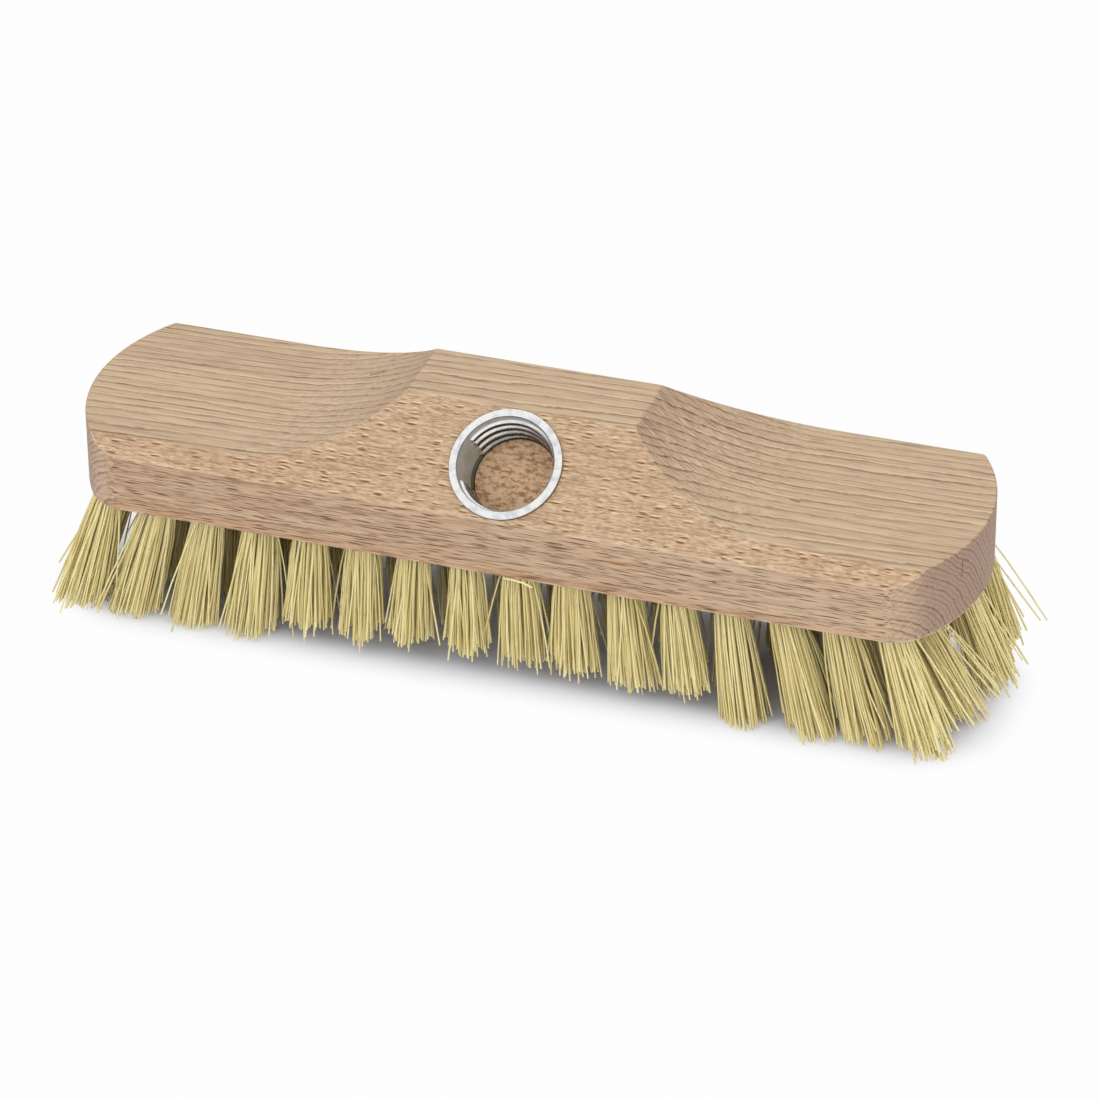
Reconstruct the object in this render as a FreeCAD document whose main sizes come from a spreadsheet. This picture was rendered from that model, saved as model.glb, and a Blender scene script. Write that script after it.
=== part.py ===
import FreeCAD, Part
import math
import os
import Sketcher

doc = FreeCAD.newDocument("scrub_brush")

# Driving dimensions in millimetres and degrees, each with what it measures
dimensions = {
    "block_length": (225, "wood, end to end"),
    "block_width": (64, "wood, front face to rear face"),
    "block_height": (34, "wood, underside to the level top of the hump"),
    "edge_height": (15, "upright part of the front and rear faces"),
    "end_height": (19, "wood at the level ends"),
    "top_width": (21, "level top of the hump, front to rear"),
    "top_length": (57, "level top of the hump, left to right"),
    "scoop_radius": (60, "hollow between the hump and the level ends"),
    "end_radius": (49, "rounding of the ends in plan"),
    "corner_radius": (12, "rounding of the corners in plan"),
    "foot_chamfer": (1, "broken edge of the underside"),
    "rim_diameter": (26.9, "rim of the bush"),
    "rim_height": (1, "rim above the bevel"),
    "rim_chamfer": (0.4, "chamfer at the rim's outer edge"),
    "mouth_diameter": (23.2, "lead-in at the face of the rim"),
    "bore_diameter": (20, "bore of the bush, on the crests of its thread"),
    "sleeve_diameter": (24.4, "part of the bush inside the wood"),
    "sleeve_depth": (11, "end of the bush below the bevel"),
    "sleeve_chamfer": (0.5, "chamfer at the end of the sleeve"),
    "sleeve_clearance": (0.1, "sleeve to its socket, on the radius"),
    "socket_gap": (0.5, "end of the sleeve to the floor of its socket"),
    "socket_web": (1.2, "wood kept between the socket and the tuft holes"),
    "hole_diameter": (7, "tuft holes, between their flats"),
    "tuft_clearance": (0.05, "tuft to its hole, on the radius"),
    "row_inset": (8.75, "front and rear rows to the faces of the wood"),
    "outer_margin": (14.25, "last tufts of the front and rear rows to the ends of the wood"),
    "outer_shift": (3, "front row to the left, rear row to the right"),
    "outer_lean": (15, "outward lean of the last tufts of the front and rear rows"),
    "inner_margin": (15.2, "last tufts of the inner rows to the ends of the wood"),
    "inner_shift": (4, "front one of the inner rows to the left, rear one to the right"),
    "inner_lean": (22, "outward lean of the last tufts of the inner rows"),
    "long_reach": (34, "tufts at the ends, below the wood"),
    "short_reach": (27, "tufts in the middle, below the wood"),
    "flare_angle": (3.9, "spread of a tuft to each side"),
    "flute_depth": (0.5, "hollow between the locks of a tuft"),
    "wire_thickness": (0.5, "flat anchor wire"),
    "wire_width": (1.8, "flat anchor wire, along the hole"),
    "wire_clearance": (0.05, "anchor wire to the hole and to the fold of its tuft"),
    "fold_height": (1.2, "fold of the fibres between the wire and the end of the hole"),
    "overrun": (2, "travel of a cutter past the wood"),
}

# Counts: tufts of an outer and of an inner row, and those at each end of it that lean or are long
row_count = 4
tuft_count = {"outer": 16, "inner": 15}
leaning_count = {"outer": 7, "inner": 3}
long_count = 4
flutes = 6

# Edges nearer than this are the same edge
touching = 0.001

sizes = doc.addObject("Spreadsheet::Sheet", "Sizes")
for line, (name, (value, note)) in enumerate(dimensions.items(), 1):
    sizes.set(f"A{line}", name)
    sizes.set(f"B{line}", str(value))
    sizes.setAlias(f"B{line}", name)
    sizes.set(f"C{line}", note)
doc.recompute()

# Sizes that follow from the driving ones
derived = doc.addObject("App::VarSet", "Derived")


def derive(name, formula):
    derived.addProperty("App::PropertyFloat", name)
    derived.setExpression(name, formula)
    doc.recompute()


derive("bevel_run", "(Sizes.block_width - Sizes.top_width) / 2")
derive("bevel_rise", "Sizes.block_height - Sizes.edge_height")
derive("bevel_angle", "atan(Derived.bevel_rise / Derived.bevel_run)")
derive("bush_y", "-(Sizes.block_width - Derived.bevel_run) / 2")
derive("bush_z", "Sizes.long_reach + Sizes.edge_height + Derived.bevel_rise / 2")
derive("socket_radius", "Sizes.sleeve_diameter / 2 + Sizes.sleeve_clearance")
derive("socket_depth", "Sizes.sleeve_depth + Sizes.socket_gap")
derive("socket_drop", "Derived.socket_depth * cos(Derived.bevel_angle)")
derive("socket_dip", "Derived.socket_radius * sin(Derived.bevel_angle)")
derive("socket_low", "Derived.bush_z - Sizes.long_reach - Derived.socket_drop - Derived.socket_dip")
derive("hole_depth", "Derived.socket_low - Sizes.socket_web")
derive("row_spacing", f"(Sizes.block_width - 2 * Sizes.row_inset) / {row_count - 1}")
for kind, count in tuft_count.items():
    derive(f"{kind}_pitch", f"(Sizes.block_length - 2 * Sizes.{kind}_margin) / {count - 1}")
derive("tuft_radius", "Sizes.hole_diameter / 2 - Sizes.tuft_clearance")
derive("wire_top", "Derived.hole_depth - Sizes.fold_height")
derive("wire_low", "Derived.wire_top - Sizes.wire_width")


def value_of(formula):
    return float(FreeCAD.Units.Quantity(sizes.evalExpression(formula)).Value)


def new_body(name):
    return doc.addObject("PartDesign::Body", name)


def origin_plane(body, role):
    return next(item for item in body.Origin.OriginFeatures if item.Role == role)


def new_sketch(body, name, role):
    sketch = body.newObject("Sketcher::SketchObject", name)
    sketch.AttachmentSupport = [(origin_plane(body, role), "")]
    sketch.MapMode = "FlatFace"
    return sketch


def bind(sketch, kind, *where, formula):
    number = sketch.addConstraint(Sketcher.Constraint(kind, *where, value_of(formula)))
    sketch.setExpression(f"Constraints[{number}]", formula)


def tie(sketch, kind, *where):
    sketch.addConstraint(Sketcher.Constraint(kind, *where))


def place_point(sketch, edge, end, across, up):
    # A point right of and above the origin has positive distances
    for kind, formula in (("DistanceX", across), ("DistanceY", up)):
        bind(sketch, kind, -1, 1, edge, end, formula=formula)


def add_outline(sketch, points):
    corners = [FreeCAD.Vector(value_of(across), value_of(up), 0) for across, up in points]
    pairs = zip(corners, corners[1:] + corners[:1])
    edges = [sketch.addGeometry(Part.LineSegment(start, stop), False) for start, stop in pairs]
    for edge, following in zip(edges, edges[1:] + edges[:1]):
        tie(sketch, "Coincident", edge, 2, following, 1)
    for edge, (across, up) in zip(edges, points):
        place_point(sketch, edge, 1, across, up)
    return edges


def add_circle(sketch, formula, construction=False):
    circle = Part.Circle(FreeCAD.Vector(0, 0, 0), FreeCAD.Vector(0, 0, 1), value_of(formula))
    edge = sketch.addGeometry(circle, construction)
    tie(sketch, "Coincident", edge, 3, -1, 1)
    bind(sketch, "Radius", edge, formula=formula)
    return edge


def cut_through(body, name, sketch):
    pocket = body.newObject("PartDesign::Pocket", name)
    pocket.Profile = sketch
    pocket.Type = "ThroughAll"
    pocket.SideType = "Symmetric"
    body.Tip = pocket
    return pocket


def mirror(body, name, feature, role):
    copy = body.newObject("PartDesign::Mirrored", name)
    copy.Originals = [feature]
    copy.MirrorPlane = (origin_plane(body, role), [""])
    body.Tip = copy
    doc.recompute()


def matching_edges(feature, test):
    return [f"Edge{number}" for number, edge in enumerate(feature.Shape.Edges, 1) if test(edge)]


def dress(body, kind, name, feature, test, prop, formula):
    dressing = body.newObject(kind, name)
    dressing.Base = (feature, matching_edges(feature, test))
    dressing.setExpression(prop, formula)
    body.Tip = dressing
    doc.recompute()
    return dressing


# Wood block: the milled blank, before drilling
def make_blank():
    body = new_body("Blank")
    plan = new_sketch(body, "Plan", "XY_Plane")
    half_width = value_of("Sizes.block_width / 2")
    radius = value_of("Sizes.end_radius")
    centre = value_of("Sizes.block_length / 2 - Sizes.end_radius")
    corner = centre + math.sqrt(radius ** 2 - half_width ** 2)
    swing = math.asin(half_width / radius)
    normal = FreeCAD.Vector(0, 0, 1)

    def side(sign):
        start = FreeCAD.Vector(-sign * corner, sign * half_width, 0)
        stop = FreeCAD.Vector(sign * corner, sign * half_width, 0)
        return plan.addGeometry(Part.LineSegment(start, stop), False)

    def end(sign, turn):
        circle = Part.Circle(FreeCAD.Vector(sign * centre, 0, 0), normal, radius)
        return plan.addGeometry(Part.ArcOfCircle(circle, turn - swing, turn + swing), False)

    rear = side(1)
    front = side(-1)
    right = end(1, 0)
    left = end(-1, math.pi)
    for edge, edge_end, arc, arc_end in (
        (rear, 2, right, 2),
        (rear, 1, left, 1),
        (front, 1, right, 1),
        (front, 2, left, 2),
    ):
        tie(plan, "Coincident", edge, edge_end, arc, arc_end)
    for edge in (rear, front):
        tie(plan, "Horizontal", edge)
    bind(plan, "DistanceY", -1, 1, rear, 1, formula="Sizes.block_width / 2")
    bind(plan, "DistanceY", front, 1, -1, 1, formula="Sizes.block_width / 2")
    for arc in (right, left):
        tie(plan, "PointOnObject", arc, 3, -1)
        bind(plan, "Radius", arc, formula="Sizes.end_radius")
    bind(plan, "DistanceX", -1, 1, right, 3, formula="Sizes.block_length / 2 - Sizes.end_radius")
    bind(plan, "DistanceX", left, 3, -1, 1, formula="Sizes.block_length / 2 - Sizes.end_radius")

    pad = body.newObject("PartDesign::Pad", "Plank")
    pad.Profile = plan
    pad.setExpression("Length", "Sizes.block_height")
    body.Tip = pad
    doc.recompute()

    def upright(edge):
        return edge.BoundBox.ZLength > value_of("Sizes.block_height / 2")

    dress(body, "PartDesign::Fillet", "Corners", pad, upright, "Radius", "Sizes.corner_radius")

    slope = new_sketch(body, "BevelSection", "YZ_Plane")
    add_outline(slope, [
        ("-Sizes.block_width / 2", "Sizes.edge_height"),
        ("-Sizes.top_width / 2", "Sizes.block_height"),
        ("-Sizes.block_width / 2", "Sizes.block_height"),
    ])
    bevel = cut_through(body, "FrontBevel", slope)
    mirror(body, "RearBevel", bevel, "XZ_Plane")

    hollow = new_sketch(body, "ScoopSection", "XZ_Plane")
    reach = "sqrt(Sizes.scoop_radius ^ 2 - (Sizes.scoop_radius - Sizes.block_height + Sizes.end_height) ^ 2)"
    brink = "Sizes.top_length / 2"
    past_end = "Sizes.block_length / 2 + Sizes.overrun"
    floor, riser, lid = (
        hollow.addGeometry(Part.LineSegment(FreeCAD.Vector(*start, 0), FreeCAD.Vector(*stop, 0)), False)
        for start, stop in (
            ((value_of(f"{brink} + {reach}"), value_of("Sizes.end_height")),
             (value_of(past_end), value_of("Sizes.end_height"))),
            ((value_of(past_end), value_of("Sizes.end_height")),
             (value_of(past_end), value_of("Sizes.block_height"))),
            ((value_of(past_end), value_of("Sizes.block_height")),
             (value_of(brink), value_of("Sizes.block_height"))),
        )
    )
    middle = FreeCAD.Vector(value_of(f"{brink} + {reach}"), value_of("Sizes.end_height + Sizes.scoop_radius"), 0)
    circle = Part.Circle(middle, normal, value_of("Sizes.scoop_radius"))
    drop = value_of("Sizes.scoop_radius - Sizes.block_height + Sizes.end_height")
    begin = math.pi + math.atan2(drop, value_of(reach))
    curve = hollow.addGeometry(Part.ArcOfCircle(circle, begin, 1.5 * math.pi), False)
    tie(hollow, "Tangent", curve, 2, floor, 1)
    tie(hollow, "Coincident", floor, 2, riser, 1)
    tie(hollow, "Coincident", riser, 2, lid, 1)
    tie(hollow, "Coincident", lid, 2, curve, 1)
    tie(hollow, "Horizontal", floor)
    tie(hollow, "Vertical", riser)
    bind(hollow, "Radius", curve, formula="Sizes.scoop_radius")
    place_point(hollow, curve, 1, brink, "Sizes.block_height")
    bind(hollow, "DistanceY", -1, 1, floor, 2, formula="Sizes.end_height")
    place_point(hollow, lid, 1, past_end, "Sizes.block_height")
    scoop = cut_through(body, "RightScoop", hollow)
    mirror(body, "LeftScoop", scoop, "YZ_Plane")

    def underside(edge):
        return edge.BoundBox.ZMax < value_of("Sizes.foot_chamfer / 2")

    dress(body, "PartDesign::Chamfer", "Foot", body.Tip, underside, "Size", "Sizes.foot_chamfer")
    body.setExpression("Placement.Base.z", "Sizes.long_reach")
    return body


# Threaded bush: rim, lead-in, bore and sleeve turned about its own axis
bush_place = "placement(vector(0; Derived.bush_y; Derived.bush_z); rotation(0; 0; Derived.bevel_angle))"


def make_bush():
    body = new_body("Bush")
    body.Label = "threaded_bush"
    section = new_sketch(body, "BushSection", "XZ_Plane")
    lead_in = "Sizes.rim_height - (Sizes.mouth_diameter - Sizes.bore_diameter) / 2"
    add_outline(section, [
        ("Sizes.bore_diameter / 2", "-Sizes.sleeve_depth"),
        ("Sizes.sleeve_diameter / 2", "-Sizes.sleeve_depth"),
        ("Sizes.sleeve_diameter / 2", "0"),
        ("Sizes.rim_diameter / 2", "0"),
        ("Sizes.rim_diameter / 2", "Sizes.rim_height"),
        ("Sizes.mouth_diameter / 2", "Sizes.rim_height"),
        ("Sizes.bore_diameter / 2", lead_in),
    ])
    turned = body.newObject("PartDesign::Revolution", "Turned")
    turned.Profile = section
    turned.ReferenceAxis = (section, ["V_Axis"])
    turned.Angle = 360
    body.Tip = turned
    doc.recompute()

    def circle_at(edge, radius, height):
        box = edge.BoundBox
        off = max(box.ZLength, abs(box.ZMin - value_of(height)), abs(box.XMax - value_of(radius)))
        return off < touching

    def rim_edge(edge):
        return circle_at(edge, "Sizes.rim_diameter / 2", "Sizes.rim_height")

    def sleeve_edge(edge):
        return circle_at(edge, "Sizes.sleeve_diameter / 2", "-Sizes.sleeve_depth")

    eased = dress(body, "PartDesign::Chamfer", "RimEdge", turned, rim_edge, "Size", "Sizes.rim_chamfer")
    dress(body, "PartDesign::Chamfer", "SleeveEdge", eased, sleeve_edge, "Size", "Sizes.sleeve_chamfer")
    body.setExpression("Placement", bush_place)
    return body


def make_socket_drill():
    drill = doc.addObject("Part::Cylinder", "SocketDrill")
    drill.setExpression("Radius", "Derived.socket_radius")
    drill.setExpression("Height", "Derived.socket_depth + Sizes.overrun")
    drop = "placement(vector(0; 0; -Derived.socket_depth); rotation(0; 0; 0))"
    drill.setExpression("Placement", f"{bush_place} * {drop}")
    return drill


# Patterns for the tufts: the mouth of the hole is at the origin and the tuft hangs down from it
def add_ring(sketch, crest, hollow):
    circles = [add_circle(sketch, crest, True), add_circle(sketch, hollow, True)] * flutes
    spans = [value_of(crest), value_of(hollow)] * flutes
    points = []
    for number, span in enumerate(spans):
        turn = math.pi * number / flutes
        points.append(FreeCAD.Vector(span * math.cos(turn), span * math.sin(turn), 0))
    pairs = zip(points, points[1:] + points[:1])
    edges = [sketch.addGeometry(Part.LineSegment(start, stop), False) for start, stop in pairs]
    for edge, following, circle in zip(edges, edges[1:] + edges[:1], circles):
        tie(sketch, "Coincident", edge, 2, following, 1)
        tie(sketch, "PointOnObject", edge, 1, circle)
    for edge in edges[1:]:
        tie(sketch, "Equal", edges[0], edge)
    tie(sketch, "PointOnObject", edges[0], 1, -1)


def make_tuft_drill():
    body = new_body("TuftDrill")
    sketch = new_sketch(body, "DrillSection", "XY_Plane")
    corner = f"Sizes.hole_diameter / 2 / cos({90 / flutes})"
    add_ring(sketch, corner, corner)
    pad = body.newObject("PartDesign::Pad", "DrillDepth")
    pad.Profile = sketch
    pad.SideType = "Two sides"
    pad.setExpression("Length", "Derived.hole_depth")
    pad.setExpression("Length2", "Sizes.overrun")
    body.Tip = pad
    return body


def wire_section(body, name, clearance):
    sketch = new_sketch(body, name, "XZ_Plane")
    half = f"(Sizes.wire_thickness / 2 + {clearance})"
    add_outline(sketch, [
        (f"-{half}", f"Derived.wire_low - {clearance}"),
        (half, f"Derived.wire_low - {clearance}"),
        (half, f"Derived.wire_top + {clearance}"),
        (f"-{half}", f"Derived.wire_top + {clearance}"),
    ])
    return sketch


def make_wire():
    body = new_body("AnchorWire")
    pad = body.newObject("PartDesign::Pad", "WireLength")
    pad.Profile = wire_section(body, "WireSection", "0")
    pad.SideType = "Symmetric"
    pad.setExpression("Length", "Sizes.hole_diameter - 2 * Sizes.wire_clearance")
    body.Tip = pad
    return body


# Tufts are counted from the nearer end of their row, which is number 0
def from_end(kind, column):
    return min(column, tuft_count[kind] - 1 - column)


def lean_of(kind, number):
    leaning = leaning_count[kind]
    return f"(Sizes.{kind}_lean * {max(leaning - number, 0)} / {leaning})"


def make_tuft(kind, number):
    reach = "Sizes.long_reach" if number < long_count else "Sizes.short_reach"
    lean = lean_of(kind, number)
    leans = number < leaning_count[kind]
    spare = "Sizes.overrun" if leans else "0"
    tag = f"{kind.title()}{number}"
    body = new_body(f"Tuft{tag}")
    mouth = new_sketch(body, f"Mouth{tag}", "XY_Plane")
    add_ring(mouth, "Derived.tuft_radius", "Derived.tuft_radius - Sizes.flute_depth")

    bundle = body.newObject("PartDesign::Pad", f"Bundle{tag}")
    bundle.Profile = mouth
    bundle.Reversed = True
    bundle.setExpression("Length", f"{reach} / cos({lean}) + Sizes.hole_diameter * tan({lean}) + {spare}")
    body.Tip = bundle
    doc.recompute()

    flare = body.newObject("PartDesign::Draft", f"Flare{tag}")
    upright = [f"Face{number}" for number, face in enumerate(bundle.Shape.Faces, 1)
               if abs(face.normalAt(0, 0).z) < 0.5]
    flare.Base = (bundle, upright)
    flare.NeutralPlane = (origin_plane(body, "XY_Plane"), [""])
    flare.setExpression("Angle", "Sizes.flare_angle")
    body.Tip = flare
    doc.recompute()

    plug = body.newObject("PartDesign::Pad", f"Plug{tag}")
    plug.Profile = mouth
    plug.setExpression("Length", "Derived.hole_depth")
    body.Tip = plug
    doc.recompute()

    cut_through(body, f"WireSlot{tag}", wire_section(body, f"SlotSection{tag}", "Sizes.wire_clearance"))
    if leans:
        level = new_sketch(body, f"TrimPlane{tag}", "XY_Plane")
        tilt = f"placement(vector(0; 0; -{reach} / cos({lean})); rotation(0; {lean}; 0))"
        level.setExpression("AttachmentOffset", tilt)
        add_circle(level, reach)
        trim = body.newObject("PartDesign::Pocket", f"Trim{tag}")
        trim.Profile = level
        trim.Type = "ThroughAll"
        body.Tip = trim
    return body


# Rows from front to rear: kind, place across the block and shift along it
rows = {
    "front": ("outer", "-1.5 * Derived.row_spacing", "-Sizes.outer_shift"),
    "inner_front": ("inner", "-0.5 * Derived.row_spacing", "-Sizes.inner_shift"),
    "inner_rear": ("inner", "0.5 * Derived.row_spacing", "+Sizes.inner_shift"),
    "rear": ("outer", "1.5 * Derived.row_spacing", "+Sizes.outer_shift"),
}


def hole_place(row, column):
    kind, across, shift = rows[row]
    from_middle = column - (tuft_count[kind] - 1) / 2
    turn = 180 if from_middle < 0 else 0
    point = f"vector({from_middle} * Derived.{kind}_pitch {shift}; {across}; Sizes.long_reach)"
    return f"placement({point}; rotation({turn}; -{lean_of(kind, from_end(kind, column))}; 0))"


def copy_to(pattern, name, place):
    copy = doc.addObject("App::Link", name)
    copy.LinkedObject = pattern
    copy.setExpression("Placement", place)
    return copy


def gather(name, members):
    group = doc.addObject("Part::Compound", name)
    group.Links = members
    return group


blank = make_blank()
bush = make_bush()
tuft_drill = make_tuft_drill()
wire = make_wire()
tuft_patterns = {}
for kind, leaning in leaning_count.items():
    plain_number = max(leaning, long_count)
    tuft_patterns[kind] = [make_tuft(kind, number) for number in range(plain_number + 1)]
doc.recompute()

drills = [make_socket_drill()]
wires = []
tufts = {}
for row, (kind, across, shift) in rows.items():
    patterns = tuft_patterns[kind]
    for column in range(tuft_count[kind]):
        pattern = patterns[min(from_end(kind, column), len(patterns) - 1)]
        place = hole_place(row, column)
        tag = f"{row}_{column + 1:02d}"
        drills.append(copy_to(tuft_drill, f"hole_{tag}", place))
        wires.append(copy_to(wire, f"wire_{tag}", place))
        tufts[row, column] = copy_to(pattern, f"tuft_{tag}", place)
doc.recompute()

wood_block = doc.addObject("Part::Cut", "WoodBlock")
wood_block.Base = blank
wood_block.Tool = gather("Drillings", drills)
wood_block.Label = "wood_block"

anchor_wires = gather("AnchorWires", wires)
anchor_wires.Label = "anchor_wires"

nodes = [wood_block, bush, anchor_wires]
for row in ("front", "rear"):
    for column in range(tuft_count["outer"]):
        tuft = tufts[row, column]
        tuft.Label = f"{row}_tuft_{column + 1:02d}"
        nodes.append(tuft)
for column in range(tuft_count["inner"]):
    pair = gather(f"InnerPair{column + 1:02d}", [tufts["inner_front", column], tufts["inner_rear", column]])
    pair.Label = f"inner_tufts_{column + 1:02d}"
    nodes.append(pair)
doc.recompute()

for item in doc.Objects:
    if "Invalid" in item.State or "Error" in item.State:
        raise RuntimeError(f"{item.Label} did not build: {item.State}")

os.makedirs("parts", exist_ok=True)
for node in nodes:
    shape = Part.getShape(node)
    if shape.isNull() or not shape.isValid():
        raise RuntimeError(f"{node.Label} has no sound shape")
    shape.exportStep(f"parts/{node.Label}.step")
print(len(nodes), "parts written, tuft holes", round(derived.hole_depth, 2), "mm deep")
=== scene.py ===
import math
import random

import bmesh
import bpy
from mathutils import Matrix, Vector


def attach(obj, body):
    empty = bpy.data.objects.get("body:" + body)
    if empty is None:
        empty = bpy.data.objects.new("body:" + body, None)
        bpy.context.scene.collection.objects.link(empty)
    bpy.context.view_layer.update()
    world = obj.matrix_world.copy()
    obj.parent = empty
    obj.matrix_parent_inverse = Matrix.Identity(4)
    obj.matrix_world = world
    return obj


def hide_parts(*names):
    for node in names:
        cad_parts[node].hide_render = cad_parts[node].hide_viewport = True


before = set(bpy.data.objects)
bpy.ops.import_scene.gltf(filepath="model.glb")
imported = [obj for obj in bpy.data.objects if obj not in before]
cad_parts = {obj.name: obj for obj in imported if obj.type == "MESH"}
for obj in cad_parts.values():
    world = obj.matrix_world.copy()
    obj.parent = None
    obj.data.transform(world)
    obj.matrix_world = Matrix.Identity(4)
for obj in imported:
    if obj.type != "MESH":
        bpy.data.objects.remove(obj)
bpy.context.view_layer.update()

mm = 0.001
scaleDown = Matrix.Scale(mm, 4)
print("frame loaded, nodes:", len(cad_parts))


# Helpers for node trees

def join(tree, value, socket):
    if isinstance(value, bpy.types.NodeSocket):
        tree.links.new(value, socket)
    else:
        socket.default_value = value


def addNode(tree, kind, inputs=None, **settings):
    node = tree.nodes.new(kind)
    for name, value in settings.items():
        setattr(node, name, value)
    for name, value in (inputs or {}).items():
        join(tree, value, node.inputs[name])
    return node


def calc(tree, operation, *values, clamp=False):
    node = addNode(tree, "ShaderNodeMath", dict(enumerate(values)), operation=operation, use_clamp=clamp)
    return node.outputs[0]


def product(tree, *values):
    result = values[0]
    for value in values[1:]:
        result = calc(tree, "MULTIPLY", result, value)
    return result


def total(tree, *values):
    result = values[0]
    for value in values[1:]:
        result = calc(tree, "ADD", result, value)
    return result


def inverse(tree, value):
    return calc(tree, "SUBTRACT", 1.0, value)


def vector(tree, operation, *values):
    node = addNode(tree, "ShaderNodeVectorMath", dict(enumerate(values)), operation=operation)
    return node.outputs["Value" if operation in ("LENGTH", "DOT_PRODUCT") else "Vector"]


def scaled(tree, direction, share):
    node = addNode(tree, "ShaderNodeVectorMath", {0: direction, "Scale": share}, operation="SCALE")
    return node.outputs["Vector"]


def noise(tree, place, detail=2.0, rough=0.5):
    inputs = {"Vector": place, "Scale": 1.0, "Detail": detail, "Roughness": rough}
    return addNode(tree, "ShaderNodeTexNoise", inputs).outputs


def ramp(tree, value, low, high):
    inputs = {"Value": value, "From Min": low, "From Max": high}
    return addNode(tree, "ShaderNodeMapRange", inputs, interpolation_type="SMOOTHSTEP").outputs["Result"]


def blend(tree, share, first, second):
    node = addNode(tree, "ShaderNodeMix", data_type="RGBA")
    join(tree, share, node.inputs["Factor"])
    join(tree, first, node.inputs[6])
    join(tree, second, node.inputs[7])
    return node.outputs[2]


def tone(red, green, blue):
    # a colour as the eye sees it, turned into the linear values of the shader
    def linear(level):
        level /= 255
        return level / 12.92 if level <= 0.04045 else ((level + 0.055) / 1.055) ** 2.4
    return (linear(red), linear(green), linear(blue), 1.0)


def newMaterial(name, roughness, metallic=0.0, specular=0.5):
    material = bpy.data.materials.new(name)
    material.use_nodes = True
    shader = material.node_tree.nodes["Principled BSDF"]
    shader.inputs["Roughness"].default_value = roughness
    shader.inputs["Metallic"].default_value = metallic
    shader.inputs["Specular IOR Level"].default_value = specular
    return material, material.node_tree, shader


def millimetres(tree):
    place = addNode(tree, "ShaderNodeTexCoord").outputs["Object"]
    return vector(tree, "MULTIPLY", place, (1000, 1000, 1000))


def relief(tree, shader, height, distance, strength=1.0):
    inputs = {"Strength": strength, "Distance": distance * mm, "Height": height}
    bump = addNode(tree, "ShaderNodeBump", inputs)
    tree.links.new(bump.outputs["Normal"], shader.inputs["Normal"])


# Effects that several materials share

def newGroup(name, inputs, outputs):
    group = bpy.data.node_groups.new(name, "ShaderNodeTree")
    for label, kind in inputs.items():
        group.interface.new_socket(label, in_out="INPUT", socket_type=f"NodeSocket{kind}")
    for label in outputs:
        group.interface.new_socket(label, in_out="OUTPUT", socket_type="NodeSocketFloat")
    return group, group.nodes.new("NodeGroupInput").outputs, group.nodes.new("NodeGroupOutput").inputs


def useGroup(tree, group, *values, **named):
    node = addNode(tree, "ShaderNodeGroup", node_tree=group)
    for name, value in {**dict(enumerate(values)), **named}.items():
        join(tree, value, node.inputs[name])
    return node.outputs


streaks, taken, given = newGroup(
    "streaks", {"place": "Vector", "stretch": "Vector", "contrast": "Float"}, ["value"])
drawnOut = noise(streaks, vector(streaks, "MULTIPLY", taken["place"], taken["stretch"]), 3.0, 0.6)["Fac"]
centred = calc(streaks, "SUBTRACT", drawnOut, 0.5)
streaks.links.new(calc(streaks, "MULTIPLY_ADD", centred, taken["contrast"], 0.5), given["value"])

dashes, taken, given = newGroup(
    "dashes", {"place": "Vector", "stretch": "Vector", "low": "Float", "high": "Float"}, ["mask"])
spotted = noise(dashes, vector(dashes, "MULTIPLY", taken["place"], taken["stretch"]), 1.0, 0.4)["Fac"]
dashes.links.new(ramp(dashes, spotted, taken["low"], taken["high"]), given["mask"])


def streak(tree, place, stretch, contrast):
    return useGroup(tree, streaks, place, stretch, contrast=contrast)["value"]


def dash(tree, place, stretch, low, high):
    return useGroup(tree, dashes, place, stretch, low=low, high=high)["mask"]


# Wood block, milled from one piece: sizes in mm, heights above the underside

block = {
    "length": 225.0, "width": 64.0, "height": 34.0, "edgeHeight": 15.0, "endHeight": 19.0,
    "topWidth": 21.0, "topLength": 57.0, "scoopRadius": 60.0, "endRadius": 49.0, "cornerRadius": 12.0,
    "underside": 34.0, "footRound": 1.0, "edgeRound": 0.45, "roundedFrom": 16.0, "sharpFrom": 40.0,    # degrees
    "scoopSteps": 36, "endSteps": 18, "cornerSteps": 14, "roundSteps": 3,
}
bevelSlope = (block["height"] - block["edgeHeight"]) / (block["width"] - block["topWidth"]) * 2
bevelAngle = math.atan(bevelSlope)
brink = block["topLength"] / 2
scoopReach = math.sqrt(block["scoopRadius"] ** 2
                       - (block["scoopRadius"] - block["height"] + block["endHeight"]) ** 2)


def scoopHeight(x):
    run = brink + scoopReach - abs(x)
    if run >= scoopReach:
        return block["height"]
    if run <= 0:
        return block["endHeight"]
    return block["endHeight"] + block["scoopRadius"] - math.sqrt(block["scoopRadius"] ** 2 - run ** 2)


def bevelHeight(y):
    return block["edgeHeight"] + (block["width"] / 2 - abs(y)) * bevelSlope


def bevelInset(z):
    return block["width"] / 2 - (z - block["edgeHeight"]) / bevelSlope


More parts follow.
